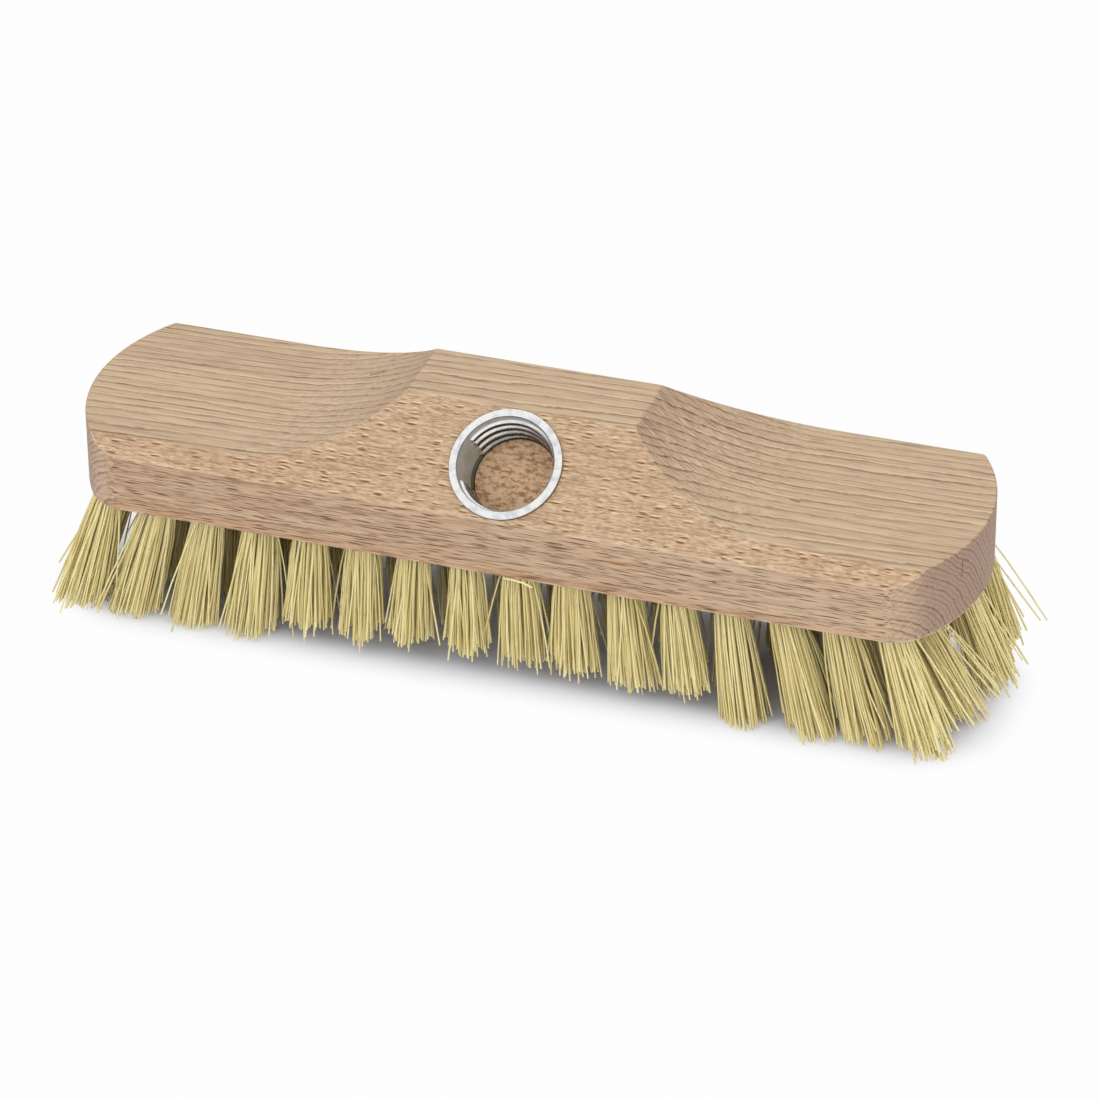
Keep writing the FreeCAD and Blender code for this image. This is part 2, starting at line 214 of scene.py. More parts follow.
def quarterPlan():
    # from the tip of the right end round to the straight rear face
    corner, end = block["cornerRadius"], block["endRadius"]
    endX = block["length"] / 2 - end
    cornerY = block["width"] / 2 - corner
    cornerX = endX + math.sqrt((end - corner) ** 2 - cornerY ** 2)
    meet = math.atan2(cornerY, cornerX - endX)
    crease = math.asin((bevelInset(block["endHeight"]) - cornerY) / corner)
    points = []
    for step in range(block["endSteps"]):
        turn = meet * step / block["endSteps"]
        points.append((endX + end * math.cos(turn), end * math.sin(turn)))
    turns = [meet, (meet + crease) / 2]
    for step in range(block["cornerSteps"] + 1):
        turns.append(crease + (math.pi / 2 - crease) * step / block["cornerSteps"])
    points += [(cornerX + corner * math.cos(turn), cornerY + corner * math.sin(turn)) for turn in turns]
    return points


def buildBlock():
    quarter = quarterPlan()
    plan = quarter + [(-x, y) for x, y in reversed(quarter)]
    plan += [(-x, -y) for x, y in quarter[1:]] + [(x, -y) for x, y in reversed(quarter[1:])]
    bm = bmesh.new()
    made = {}

    def face(points):
        verts = []
        for x, y, z in points:
            key = (round(x, 4), round(y, 4), round(z, 4))
            if key not in made:
                made[key] = bm.verts.new((x * mm, y * mm, (z + block["underside"]) * mm))
            if made[key] not in verts:
                verts.append(made[key])
        bm.faces.new(verts)

    rim = [(x, y, min(scoopHeight(x), bevelHeight(y))) for x, y in plan]
    face([(x, y, 0) for x, y in reversed(plan)])
    for (x, y, z), (nextX, nextY, nextZ) in zip(rim, rim[1:] + rim[:1]):
        face([(x, y, 0), (nextX, nextY, 0), (nextX, nextY, nextZ), (x, y, z)])

    half, height = block["topWidth"] / 2, block["height"]
    face([(-brink, -half, height), (brink, -half, height), (brink, half, height), (-brink, half, height)])

    # each scoop falls from the brink of the hump to its level end
    curve = []
    for step in range(block["scoopSteps"] + 1):
        x = brink + scoopReach * step / block["scoopSteps"]
        curve.append((x, bevelInset(scoopHeight(x)), scoopHeight(x)))
    for way in (1, -1):
        for (x, y, z), (nextX, nextY, nextZ) in zip(curve, curve[1:]):
            face([(x * way, -y, z), (nextX * way, -nextY, nextZ),
                  (nextX * way, nextY, nextZ), (x * way, y, z)])
        x, y, z = curve[-1]
        tips = [point for point in rim if point[0] * way > 0 and abs(point[2] - z) < 0.0001]
        tips.sort(key=lambda point: point[1])
        face([(x * way, -y, z)] + tips + [(x * way, y, z)])
    for way in (1, -1):
        low = [(x, y, z) for x, y, z in rim if y * way > 0 and bevelHeight(y) <= scoopHeight(x) + 0.0001]
        low.sort(key=lambda point: point[0], reverse=True)
        high = [(-x, y * way, z) for x, y, z in reversed(curve)] + [(x, y * way, z) for x, y, z in curve]
        face(low + high)
    bmesh.ops.recalc_face_normals(bm, faces=bm.faces[:])

    weight = bm.edges.layers.float.new("bevel_weight_edge")
    for edge in bm.edges:
        if edge.calc_face_angle() > math.radians(block["roundedFrom"]):
            onFoot = all(abs(vert.co.z - block["underside"] * mm) < 1e-7 for vert in edge.verts)
            edge[weight] = 1.0 if onFoot else block["edgeRound"] / block["footRound"]
    return bm


def newPiece(name, bm, material=None):
    mesh = bpy.data.meshes.new(name)
    bm.to_mesh(mesh)
    bm.free()
    piece = bpy.data.objects.new(name, mesh)
    bpy.context.scene.collection.objects.link(piece)
    if material:
        mesh.materials.append(material)
    return piece


def settle(piece):
    # keep the mesh as its modifiers leave it
    shown = piece.evaluated_get(bpy.context.evaluated_depsgraph_get())
    finished = bpy.data.meshes.new_from_object(shown)
    piece.modifiers.clear()
    spent = piece.data
    piece.data = finished
    bpy.data.meshes.remove(spent)
    finished.name = piece.name


def standIn(piece, node):
    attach(piece, "root")
    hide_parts(node)


# Tufts: where they sit, in mm and degrees, all counted from the left

tuftRows = {
    "front": {"y": -23.25, "pitch": 13.1, "shift": -3.0, "count": 16, "lean": 15.0, "leaning": 7},
    "innerFront": {"y": -7.75, "pitch": 13.9, "shift": -4.0, "count": 15, "lean": 22.0, "leaning": 3},
    "innerRear": {"y": 7.75, "pitch": 13.9, "shift": 4.0, "count": 15, "lean": 22.0, "leaning": 3},
    "rear": {"y": 23.25, "pitch": 13.1, "shift": 3.0, "count": 16, "lean": 15.0, "leaning": 7},
}
# how the fibres fall: the pairs hold for the left and the right half, sweep and lift only for the last tufts
habits = {
    "front": {
        "fibres": 185, "flare": 3.6, "sweep": (-1.0, 0.5), "lift": (0.8, 2.2), "drift": (0.0, 0.0)},
    "innerFront": {
        "fibres": 115, "flare": 2.3, "sweep": (-1.5, 3.0), "lift": (0.5, 2.0), "drift": (2.2, 0.6)},
    "innerRear": {
        "fibres": 100, "flare": 2.3, "sweep": (-1.5, -1.0), "lift": (0.5, 2.5), "drift": (1.6, 0.6)},
    "rear": {
        "fibres": 145, "flare": 3.6, "sweep": (-1.5, -0.4), "lift": (0.5, 4.5), "drift": (0.0, 0.0)},
}
tuft = {
    "longCount": 4, "longReach": 34.0, "shortReach": 27.0, "holeRadius": 3.5, "holeDepth": 6.5,
    "thickness": 0.46, "widths": (0.8, 1.15), "sides": 5, "sharpFrom": 80.0,
    "runs": (0.0, 0.1, 0.35, 0.7, 1.0),     # stations along a fibre
    "opening": (0.3, 0.7),                  # the lower, the sooner the tuft spreads
    "sway": (0.7, 0.4), "waver": (0.75, 0.5), "bow": 0.25,      # of the tuft, of one fibre, its bend
    "locks": 7, "lockSpread": 0.4, "lockTrim": 0.9,
    "astray": 0.11, "astrayOut": (0.5, 2.6), "astraySway": (1.4, 1.0), "wide": 6.5, "wideLeft": 0.3,
    "offFloor": 0.6, "ragged": 1.2, "worn": 0.08, "wornBy": (1, 4), "least": (0.3, 1.2),
    # one fibre of the ninth front tuft is bent over the edge of the wood
    "bentColumn": 8,
    "bent": [(3.2, -24.5, 35.0), (3.0, -28.0, 33.5), (2.9, -30.8, 33.6), (3.0, -32.3, 34.1),
             (5.5, -32.55, 34.25), (8.0, -32.55, 33.95), (10.1, -32.5, 33.05)],
}


def tuftPlace(row, column):
    # the mouth of the hole at the origin, the tuft hanging down from it
    fromEnd = min(column, row["count"] - 1 - column)
    fromMiddle = column - (row["count"] - 1) / 2
    lean = row["lean"] * max(row["leaning"] - fromEnd, 0) / row["leaning"]
    turn = Matrix.Rotation(math.radians(lean if fromMiddle < 0 else -lean), 4, "Y")
    spot = Vector((fromMiddle * row["pitch"] + row["shift"], row["y"], block["underside"]))
    reach = tuft["longReach"] if fromEnd < tuft["longCount"] else tuft["shortReach"]
    splay = max(1 - fromEnd / 3, 0) * (-1 if fromMiddle < 0 else 1)
    return Matrix.Translation(spot) @ turn, reach, splay


bush = {
    "rimRadius": 13.8, "rimHeight": 1.0, "mouthRadius": 11.8, "sleeveRadius": 12.2, "sleeveDepth": 11.0,
    "socketRadius": 12.3, "socketDepth": 11.5, "sharpFrom": 50.0,
}
bushSpot = Vector((0, -(block["width"] + block["topWidth"]) / 4,
                   block["underside"] + (block["height"] + block["edgeHeight"]) / 2))
bushPlace = Matrix.Translation(bushSpot) @ Matrix.Rotation(bevelAngle, 4, "X")
bushAxis = tuple(bushPlace.to_3x3() @ Vector((0, 0, 1)))

# distance from the axis of the socket, and along it from the bevel
boreFrame, taken, given = newGroup("boreFrame", {"place": "Vector"}, ["radius", "along"])
away = vector(boreFrame, "SUBTRACT", taken["place"], tuple(bushSpot))
along = vector(boreFrame, "DOT_PRODUCT", away, bushAxis)
outward = vector(boreFrame, "SUBTRACT", away, scaled(boreFrame, bushAxis, along))
boreFrame.links.new(vector(boreFrame, "LENGTH", outward), given["radius"])
boreFrame.links.new(along, given["along"])


# Beech

beech = {
    # two colours of the flecks also serve as painted shadow and painted highlight on the bevels and the right
    # scoop
    "pale": tone(215, 190, 159), "middle": tone(196, 167, 136), "dark": tone(121, 86, 58),
    "fleckAndShadow": tone(126, 80, 36), "warm": tone(198, 138, 80), "paleGrainAndHighlight": tone(240, 212, 174),
    "edge": tone(232, 206, 174), "endGrain": tone(172, 144, 124), "scar": tone(100, 66, 38),
    "torn": tone(230, 196, 160), "tornDark": tone(164, 110, 66),
    "pith": (0.0, -62.0, 12.0), "drift": 0.05, "ringWidth": 2.4,
    "roughness": 0.6, "reliefDepth": 0.1, "reliefStrength": 0.6,
    # how strongly each feature shows
    "lineShows": 0.8, "lineShadeRight": 0.35, "paleLineShows": 0.6, "poreShows": 0.35, "tintShows": 0.26,
    "smallFleckShows": 0.4, "fleckHighlightShows": 0.7, "fleckShadowShows": 0.9, "dashShows": 0.95,
    "endGrainShows": 0.85, "bandShows": 0.5, "sawnShows": 0.22, "chatterShows": 0.55, "shineShows": 0.6,
    "tornShows": 0.9, "scarShows": 0.7,
    # flecks and dashes: cells per mm along and across the block
    "fleckStretch": (0.28, 1.7, 1.7), "fleckShare": 0.32,
    "smallFleckStretch": (0.46, 2.8, 2.8), "smallFleckShare": 0.7, "dashStretch": (0.16, 3.6, 3.6),
    # small marks on the surface: from, to and half width in mm
    "scars": [((-46.0, 11.1, 57.2), (-42.0, 10.9, 59.0), 0.5),
              ((110.0, -15.4, 49.8), (109.9, -15.7, 45.4), 0.3),
              ((65.8, -6.8, 53.0), (68.0, -7.3, 53.0), 0.4)],
}


def scarMask(tree, place, start, stop, width):
    along = Vector(stop) - Vector(start)
    away = vector(tree, "SUBTRACT", place, start)
    reached = vector(tree, "DOT_PRODUCT", away, tuple(along))
    share = calc(tree, "DIVIDE", reached, along.length_squared, clamp=True)
    distance = vector(tree, "LENGTH", vector(tree, "SUBTRACT", away, scaled(tree, tuple(along), share)))
    return ramp(tree, distance, width, width * 0.4)


def fleckMask(tree, place, stretch, size, share):
    # lens shapes, in a share of the cells
    inputs = {"Vector": vector(tree, "MULTIPLY", place, stretch), "Scale": 1.0}
    cells = addNode(tree, "ShaderNodeTexVoronoi", inputs).outputs
    pick = addNode(tree, "ShaderNodeSeparateColor", {0: cells["Color"]}).outputs["Red"]
    lens = ramp(tree, cells["Distance"], size, size * 0.4)
    return product(tree, lens, ramp(tree, pick, share, share * 0.8))


def flatPlace(tree, place, first, second):
    # a flat place, measured along two directions
    inputs = {0: vector(tree, "DOT_PRODUCT", place, first), 1: vector(tree, "DOT_PRODUCT", place, second)}
    return addNode(tree, "ShaderNodeCombineXYZ", inputs).outputs[0]


def beechMaterial():
    material, tree, shader = newMaterial("beechWood", beech["roughness"], specular=0.25)
    place = millimetres(tree)
    normal = addNode(tree, "ShaderNodeNewGeometry").outputs["Normal"]
    facing = addNode(tree, "ShaderNodeSeparateXYZ", {0: normal}).outputs
    up = facing["Z"]
    side = calc(tree, "ABSOLUTE", facing["Y"])
    end = calc(tree, "ABSOLUTE", facing["X"])

    # where each kind of surface lies
    ends = ramp(tree, end, 0.35, 0.92)
    bevels = product(tree, ramp(tree, up, 0.35, 0.6), ramp(tree, side, 0.35, 0.58))
    upright = ramp(tree, up, 0.6, 0.25)
    corners = ramp(tree, end, 0.1, 0.5)
    fronts = product(tree, upright, inverse(tree, corners))
    level = product(tree, inverse(tree, bevels), inverse(tree, upright))
    steep = product(tree, level, ramp(tree, end, 0.12, 0.5))

    # growth rings round a line in front of and below the block
    wander = noise(tree, vector(tree, "MULTIPLY", place, (0.011, 0.05, 0.05)))["Color"]
    ripple = noise(tree, vector(tree, "MULTIPLY", place, (0.13, 0.5, 0.5)), 1.0)["Color"]
    jagged = noise(tree, vector(tree, "MULTIPLY", place, (0.6, 1.4, 1.4)), 1.0)["Color"]
    drifted = {"Vector": place, "Rotation": (0, 0, -beech["drift"])}
    bent = addNode(tree, "ShaderNodeMapping", drifted).outputs[0]
    for waves, reach in ((ripple, 0.9), (wander, 6.0), (jagged, 0.5)):
        bent = vector(tree, "MULTIPLY_ADD", waves, (0, reach, reach), bent)
    across = vector(tree, "MULTIPLY", vector(tree, "SUBTRACT", bent, beech["pith"]), (0, 1, 1))
    radius = calc(tree, "DIVIDE", vector(tree, "LENGTH", across), beech["ringWidth"])
    ring = calc(tree, "FRACT", radius)
    year = calc(tree, "FLOOR", radius)
    own = addNode(tree, "ShaderNodeTexWhiteNoise", {"W": year}, noise_dimensions="1D").outputs["Value"]
    late = product(tree, ramp(tree, ring, 0.7, 0.93), ramp(tree, ring, 1.0, 0.94))
    pale = product(tree, ramp(tree, ring, 0.0, 0.06), ramp(tree, ring, 0.2, 0.08), level, own)
    broken = ramp(tree, streak(tree, place, (0.05, 0.6, 0.6), 2.4), 0.2, 0.75)
    line = late
    for mask, share, least in ((own, 0.5, 0.6), (broken, 0.6, 0.4), (bevels, -0.6, 1.0), (fronts, -0.35, 1.0)):
        line = product(tree, line, calc(tree, "MULTIPLY_ADD", mask, share, least))

    # fibre along the block: long on the level faces, finer on the fronts, short on the bevels
    long = streak(tree, place, (0.03, 2.0, 2.0), 2.1)
    planed = streak(tree, place, (0.045, 2.8, 2.8), 3.6)
    short = streak(tree, place, (0.42, 2.5, 2.5), 5.4)
    turning = product(tree, corners, upright)
    fine = long
    for value, mask in ((short, bevels), (planed, fronts), (0.4, product(tree, turning, 0.7))):
        fine = calc(tree, "MULTIPLY_ADD", calc(tree, "SUBTRACT", value, fine), mask, fine)
    broad = streak(tree, place, (0.012, 0.16, 0.16), 1.6)
    pores = product(tree, dash(tree, place, (0.1, 3.0, 3.0), 0.57, 0.68), inverse(tree, turning))
    colour = blend(tree, ramp(tree, fine, 0.1, 0.9), beech["middle"], beech["pale"])
    colour = blend(tree, product(tree, ramp(tree, broad, 0.4, 0.9), 0.16), colour, beech["dark"])
    # painted shade: the upright faces, but not the ends, are made darker
    colour = blend(tree, product(tree, upright, inverse(tree, ends), 0.12), colour, beech["dark"])
    faces = total(tree, bevels, fronts)
    colour = blend(tree, product(tree, faces, ramp(tree, fine, 0.4, 0.0), 0.2), colour, beech["dark"])
    colour = blend(tree, product(tree, ramp(tree, ring, 0.2, 0.95), level, 0.12), colour, beech["dark"])
    colour = blend(tree, product(tree, faces, 0.12), colour, beech["warm"])

    # the fronts grow paler to the right, and are warm in bands and along the foot
    lengthwise = vector(tree, "DOT_PRODUCT", place, (1, 0, 0))
    paler = product(tree, fronts, ramp(tree, lengthwise, -60.0, 110.0), 0.4)
    colour = blend(tree, paler, colour, beech["pale"])
    height = vector(tree, "DOT_PRODUCT", place, (0, 0, 1))
    low = ramp(tree, height, block["underside"] + 4.5, block["underside"] + 0.5)
    tinted = calc(tree, "MAXIMUM", ramp(tree, streak(tree, place, (0.02, 0.4, 0.4), 2.4), 0.6, 1.0), low)
    colour = blend(tree, product(tree, fronts, tinted, beech["tintShows"]), colour, beech["warm"])
    colour = blend(tree, product(tree, pores, beech["poreShows"]), colour, beech["dark"])
    colour = blend(tree, product(tree, pale, beech["paleLineShows"]), colour, beech["paleGrainAndHighlight"])

    # rays: flecks on the bevels, each with a painted highlight on its upslope side and a painted shadow just
    # below, among small flecks; dark dashes on the upright faces
    ragged = vector(tree, "MULTIPLY_ADD", ripple, (1.6, 0.9, 0.9), place)
    upslope = vector(tree, "SUBTRACT", ragged, (0.2, 0.34, 0.3))
    stretch, share = beech["fleckStretch"], beech["fleckShare"]
    fleckShadow = product(tree, fleckMask(tree, ragged, stretch, 0.5, share), bevels)
    fleckHighlight = product(tree, fleckMask(tree, upslope, stretch, 0.55, share), bevels)
    stretch, share = beech["smallFleckStretch"], beech["smallFleckShare"]
    smallFleck = product(tree, fleckMask(tree, ragged, stretch, 0.5, share), bevels)
    streaky = product(tree, dash(tree, place, beech["dashStretch"], 0.575, 0.65), fronts)
    colour = blend(tree, product(tree, smallFleck, beech["smallFleckShows"]), colour, beech["fleckAndShadow"])
    colour = blend(tree, product(tree, fleckHighlight, beech["fleckHighlightShows"]), colour, beech["paleGrainAndHighlight"])
    colour = blend(tree, product(tree, fleckShadow, beech["fleckShadowShows"]), colour, beech["fleckAndShadow"])
    colour = blend(tree, product(tree, streaky, beech["dashShows"]), colour, beech["dark"])

    # end grain, greyer and speckled with pores
    speckle = noise(tree, vector(tree, "MULTIPLY", place, (0.6, 3.2, 3.2)), 3.0, 0.6)["Fac"]
    cut = blend(tree, ramp(tree, speckle, 0.45, 0.8), beech["endGrain"], beech["dark"])
    colour = blend(tree, product(tree, ends, beech["endGrainShows"]), colour, cut)
    tight = calc(tree, "FRACT", product(tree, radius, 2.0))
    band = product(tree, ramp(tree, tight, 0.2, 0.9), ramp(tree, tight, 1.0, 0.92))
    band = product(tree, band, calc(tree, "MULTIPLY_ADD", own, 0.5, 0.5), turning)
    colour = blend(tree, product(tree, band, beech["bandShows"]), colour, beech["dark"])

    # marks of the saw, rising to the rear round the corners
    rising = flatPlace(tree, place, (-0.5, -0.5, 0.7), (0.5, 0.5, 0.7))
    sawn = product(tree, dash(tree, rising, (1.7, 0.12, 0), 0.53, 0.66), turning, ramp(tree, end, 0.97, 0.7))
    colour = blend(tree, product(tree, sawn, beech["sawnShows"]), colour, beech["edge"])

    # fine marks of the cutter down the steep part of the scoops; on the right scoop, which faces away from the
    # light, they and the ring lines are painted darker as shade, with painted highlights between them
    aslant = flatPlace(tree, place, (1, 0, 0), (0.16, 1, 0))
    rightward = ramp(tree, lengthwise, -20.0, 20.0)
    steepRight = product(tree, steep, rightward)
    steepWithShade = product(tree, steep, calc(tree, "MULTIPLY_ADD", rightward, 0.55, 0.45))
    chatter = product(tree, dash(tree, aslant, (0.18, 3.4, 0), 0.5, 0.64), steepWithShade)
    shine = product(tree, dash(tree, aslant, (0.24, 3.2, 0), 0.57, 0.68), steepRight)
    colour = blend(tree, product(tree, chatter, beech["chatterShows"]), colour, beech["dark"])
    colour = blend(tree, product(tree, shine, beech["shineShows"]), colour, beech["paleGrainAndHighlight"])
    lineWithShade = calc(tree, "MULTIPLY_ADD", steepRight, beech["lineShadeRight"], beech["lineShows"])
    colour = blend(tree, calc(tree, "MULTIPLY", line, lineWithShade, clamp=True), colour, beech["dark"])

    # pale along the edges: a painted highlight on the rounded edge between bevels and fronts, and a pale line
    # along the rounded foot, both broken up in patches
    ridge = product(tree, ramp(tree, up, 0.06, 0.2), ramp(tree, up, 0.73, 0.62), ramp(tree, side, 0.6, 0.75))
    ridge = product(tree, ridge, 0.4)
    foot = product(tree, ramp(tree, up, -0.08, -0.3), ramp(tree, up, -0.97, -0.8), 0.75)
    worn = dash(tree, place, (0.3, 0.9, 0.9), 0.35, 0.6)
    colour = blend(tree, product(tree, total(tree, ridge, foot), worn), colour, beech["edge"])

    # the drilled floor of the handle socket, torn and blotchy
    bore = useGroup(tree, boreFrame, place)
    drilled = product(tree, ramp(tree, bore["along"], -8.0, -9.0), ramp(tree, bore["radius"], 12.6, 12.4))
    blotch = noise(tree, vector(tree, "MULTIPLY", place, (0.6, 1.1, 1.1)), 5.0, 0.7)["Fac"]
    torn = blend(tree, ramp(tree, blotch, 0.42, 0.66), beech["torn"], beech["tornDark"])
    colour = blend(tree, product(tree, drilled, beech["tornShows"]), colour, torn)

    for start, stop, width in beech["scars"]:
        scar = product(tree, scarMask(tree, place, start, stop, width), beech["scarShows"])
        colour = blend(tree, scar, colour, beech["scar"])
    tree.links.new(colour, shader.inputs["Base Color"])

    rough = calc(tree, "MULTIPLY_ADD", fine, 0.2, beech["roughness"] - 0.1)
    tree.links.new(rough, shader.inputs["Roughness"])
    sunk = total(tree, line, fleckShadow, streaky, pores, chatter)
    raised = calc(tree, "SUBTRACT", total(tree, fine, fleckHighlight), sunk)
    relief(tree, shader, raised, beech["reliefDepth"], beech["reliefStrength"])
    return material


beechWood = beechMaterial()
print("beech ready")


woodBlock = newPiece("woodBlock", buildBlock(), beechWood)
rounding = woodBlock.modifiers.new("rounding", "BEVEL")
rounding.limit_method = "WEIGHT"
rounding.width = block["footRound"] * mm
rounding.segments = block["roundSteps"]
rounding.use_clamp_overlap = False
settle(woodBlock)


def addDrill(bm, place, radius, depth, overrun, way, segments):
    middle = Matrix.Translation(Vector((0, 0, way * (depth - overrun) / 2)))
    bmesh.ops.create_cone(bm, cap_ends=True, segments=segments, radius1=radius, radius2=radius,
                          depth=depth + overrun, matrix=place @ middle)


drills = bmesh.new()
for row in tuftRows.values():
    for column in range(row["count"]):
        addDrill(drills, tuftPlace(row, column)[0], tuft["holeRadius"], tuft["holeDepth"], 2, 1, 20)
addDrill(drills, bushPlace, bush["socketRadius"], bush["socketDepth"], 3, -1, 64)
bmesh.ops.transform(drills, matrix=scaleDown, verts=drills.verts[:])
drill = newPiece("drill", drills)
boring = woodBlock.modifiers.new("boring", "BOOLEAN")
boring.operation = "DIFFERENCE"
boring.solver = "EXACT"
boring.object = drill
settle(woodBlock)
bpy.data.objects.remove(drill)
woodBlock.data.shade_smooth()
woodBlock.data.set_sharp_from_angle(angle=math.radians(block["sharpFrom"]))
weighted = woodBlock.modifiers.new("shading", "WEIGHTED_NORMAL")
weighted.keep_sharp = True
weighted.weight = 100
standIn(woodBlock, "wood_block")
print("wood block ready, faces:", len(woodBlock.data.polygons))


# Plated bush

plating = {"bright": tone(243, 243, 241), "grey": tone(212, 214, 219), "recessReflectionTone": tone(158, 150, 118),
           "shade": tone(84, 78, 64), "roughness": 0.28}


thread = {
    "pitch": 2.9, "wallRadius": 12.0, "rootRadius": 11.95, "crestRadius": 11.15, "taper": 0.1,
    "firstDepth": 1.5, "lip": 10.15, "undercut": 12.0,
    "gaps": [(180.0, 52.0), (-16.0, 36.0)],     # middle and width of the smooth stretches, degrees
    "seam": 4.0, "seamDepth": 0.25, "steps": 180, "depthSteps": 96,
}


def platedMaterial():
    material, tree, shader = newMaterial("platedSteel", plating["roughness"], 1.0)
    place = millimetres(tree)
    mottle = noise(tree, vector(tree, "MULTIPLY", place, (0.4, 0.4, 0.4)), 3.0, 0.6)["Fac"]
    scratch = streak(tree, place, (2.6, 0.5, 0.5), 1.4)
    nick = dash(tree, place, (1.2, 1.6, 1.6), 0.64, 0.72)
    colour = blend(tree, ramp(tree, mottle, 0.42, 0.7), plating["bright"], plating["grey"])
    colour = blend(tree, product(tree, nick, 0.5), colour, plating["grey"])

    # the recesses of the bore get a dull olive colour, a painted reflection, and are less metallic; the rim and
    # the thread are bright
    bore = useGroup(tree, boreFrame, place)
    taper = calc(tree, "MULTIPLY_ADD", bore["along"], -thread["taper"], bore["radius"])
    below = ramp(tree, bore["along"], 0.75, 0.55)
    recessReflection = product(tree, ramp(tree, taper, thread["wallRadius"] - 0.25, thread["wallRadius"] - 0.1), below)
    colour = blend(tree, recessReflection, colour, blend(tree, mottle, plating["recessReflectionTone"], plating["grey"]))
    outside = product(tree, ramp(tree, bore["radius"], 13.5, 13.75), below)
    innerShade = product(tree, ramp(tree, bore["radius"], 12.02, 11.9), ramp(tree, bore["along"], 0.0, 0.3), 0.85)
    crests = ramp(tree, taper, thread["crestRadius"] + 0.14, thread["crestRadius"] + 0.04)
    crests = product(tree, crests, ramp(tree, bore["along"], 0.0, -0.5))
    foot = ramp(tree, bore["along"], -bush["sleeveDepth"] + 1.0, -bush["sleeveDepth"] + 0.7)
    shade = outside
    for mask in (innerShade, crests, foot):
        shade = calc(tree, "MAXIMUM", shade, mask)
    colour = blend(tree, shade, colour, plating["shade"])
    tree.links.new(colour, shader.inputs["Base Color"])
    tree.links.new(calc(tree, "MULTIPLY_ADD", recessReflection, -0.75, 1.0), shader.inputs["Metallic"])
    rough = calc(tree, "MULTIPLY_ADD", scratch, 0.2, plating["roughness"] - 0.1)
    tree.links.new(calc(tree, "MULTIPLY_ADD", recessReflection, 0.25, rough), shader.inputs["Roughness"])
    relief(tree, shader, scratch, 0.01, 0.3)
    return material


def smooth(low, high, value):
    share = min(max((value - low) / (high - low), 0), 1)
    return share * share * (3 - 2 * share)


def threadRadius(turn, depth):
    # turn in degrees, depth below the bevel in mm
    keep = 1.0
    for middle, width in thread["gaps"]:
        away = abs((turn - middle + 180) % 360 - 180)
        keep *= smooth(width / 2 - 1.5, width / 2 + 1.5, away)
    start = smooth(thread["firstDepth"] - 0.4, thread["firstDepth"] + 0.1, depth)
    wave = ((depth - thread["firstDepth"]) / thread["pitch"] + turn / 360) % 1.0
    ridge = smooth(0.0, 0.45, wave) * (1 - smooth(0.75, 1.0, wave))
    cut = thread["rootRadius"] - (thread["rootRadius"] - thread["crestRadius"]) * ridge
    radius = thread["wallRadius"] - (thread["wallRadius"] - cut) * keep * start
    radius -= thread["taper"] * max(depth, 0)
    radius += (thread["undercut"] - radius) * (1 - smooth(0.0, 0.6, depth))
    turnedIn = smooth(bush["sleeveDepth"] - 0.9, bush["sleeveDepth"] - 0.2, depth)
    return radius + (thread["lip"] - radius) * turnedIn


def buildBush():
    bm = bmesh.new()
    rim, height, mouth = bush["rimRadius"], bush["rimHeight"], bush["mouthRadius"]
    profile = [(bush["sleeveRadius"], -bush["sleeveDepth"]), (bush["sleeveRadius"], 0.0), (rim, 0.0),
               (rim, height - 0.4), (rim - 0.06, height - 0.2), (rim - 0.2, height - 0.06),
               (rim - 0.4, height), (mouth + 0.2, height), (mouth + 0.06, height - 0.06),
               (mouth, height - 0.2)]
    columns = []
    for step in range(thread["steps"]):
        turn = 360 * step / thread["steps"]
        sunk = thread["seamDepth"] if abs(turn - thread["seam"]) < 0.1 else 0.0
        line = [(radius, z - (sunk if z > 0.1 else 0.0)) for radius, z in profile]
        for level in range(thread["depthSteps"] + 1):
            z = height - 0.3 - (bush["sleeveDepth"] + height - 0.3) * level / thread["depthSteps"]
            line.append((threadRadius(turn, -z), z))
        across, upward = math.cos(math.radians(turn)), math.sin(math.radians(turn))
        columns.append([bm.verts.new((radius * across, radius * upward, z)) for radius, z in line])
    for first, second in zip(columns, columns[1:] + columns[:1]):
        for number in range(len(first)):
            following = (number + 1) % len(first)
            bm.faces.new((first[number], second[number], second[following], first[following]))
    bmesh.ops.recalc_face_normals(bm, faces=bm.faces[:])
    bmesh.ops.transform(bm, matrix=scaleDown @ bushPlace, verts=bm.verts[:])
    return bm


threadedBush = newPiece("threadedBush", buildBush(), platedMaterial())
threadedBush.data.shade_smooth()
threadedBush.data.set_sharp_from_angle(angle=math.radians(bush["sharpFrom"]))
standIn(threadedBush, "threaded_bush")
print("bush ready, faces:", len(threadedBush.data.polygons))


# Plant fibre

fibre = {"pale": tone(250, 238, 180), "middle": tone(237, 220, 152), "deep": tone(194, 174, 100),
         "inner": tone(150, 132, 82), "roughness": 0.5}


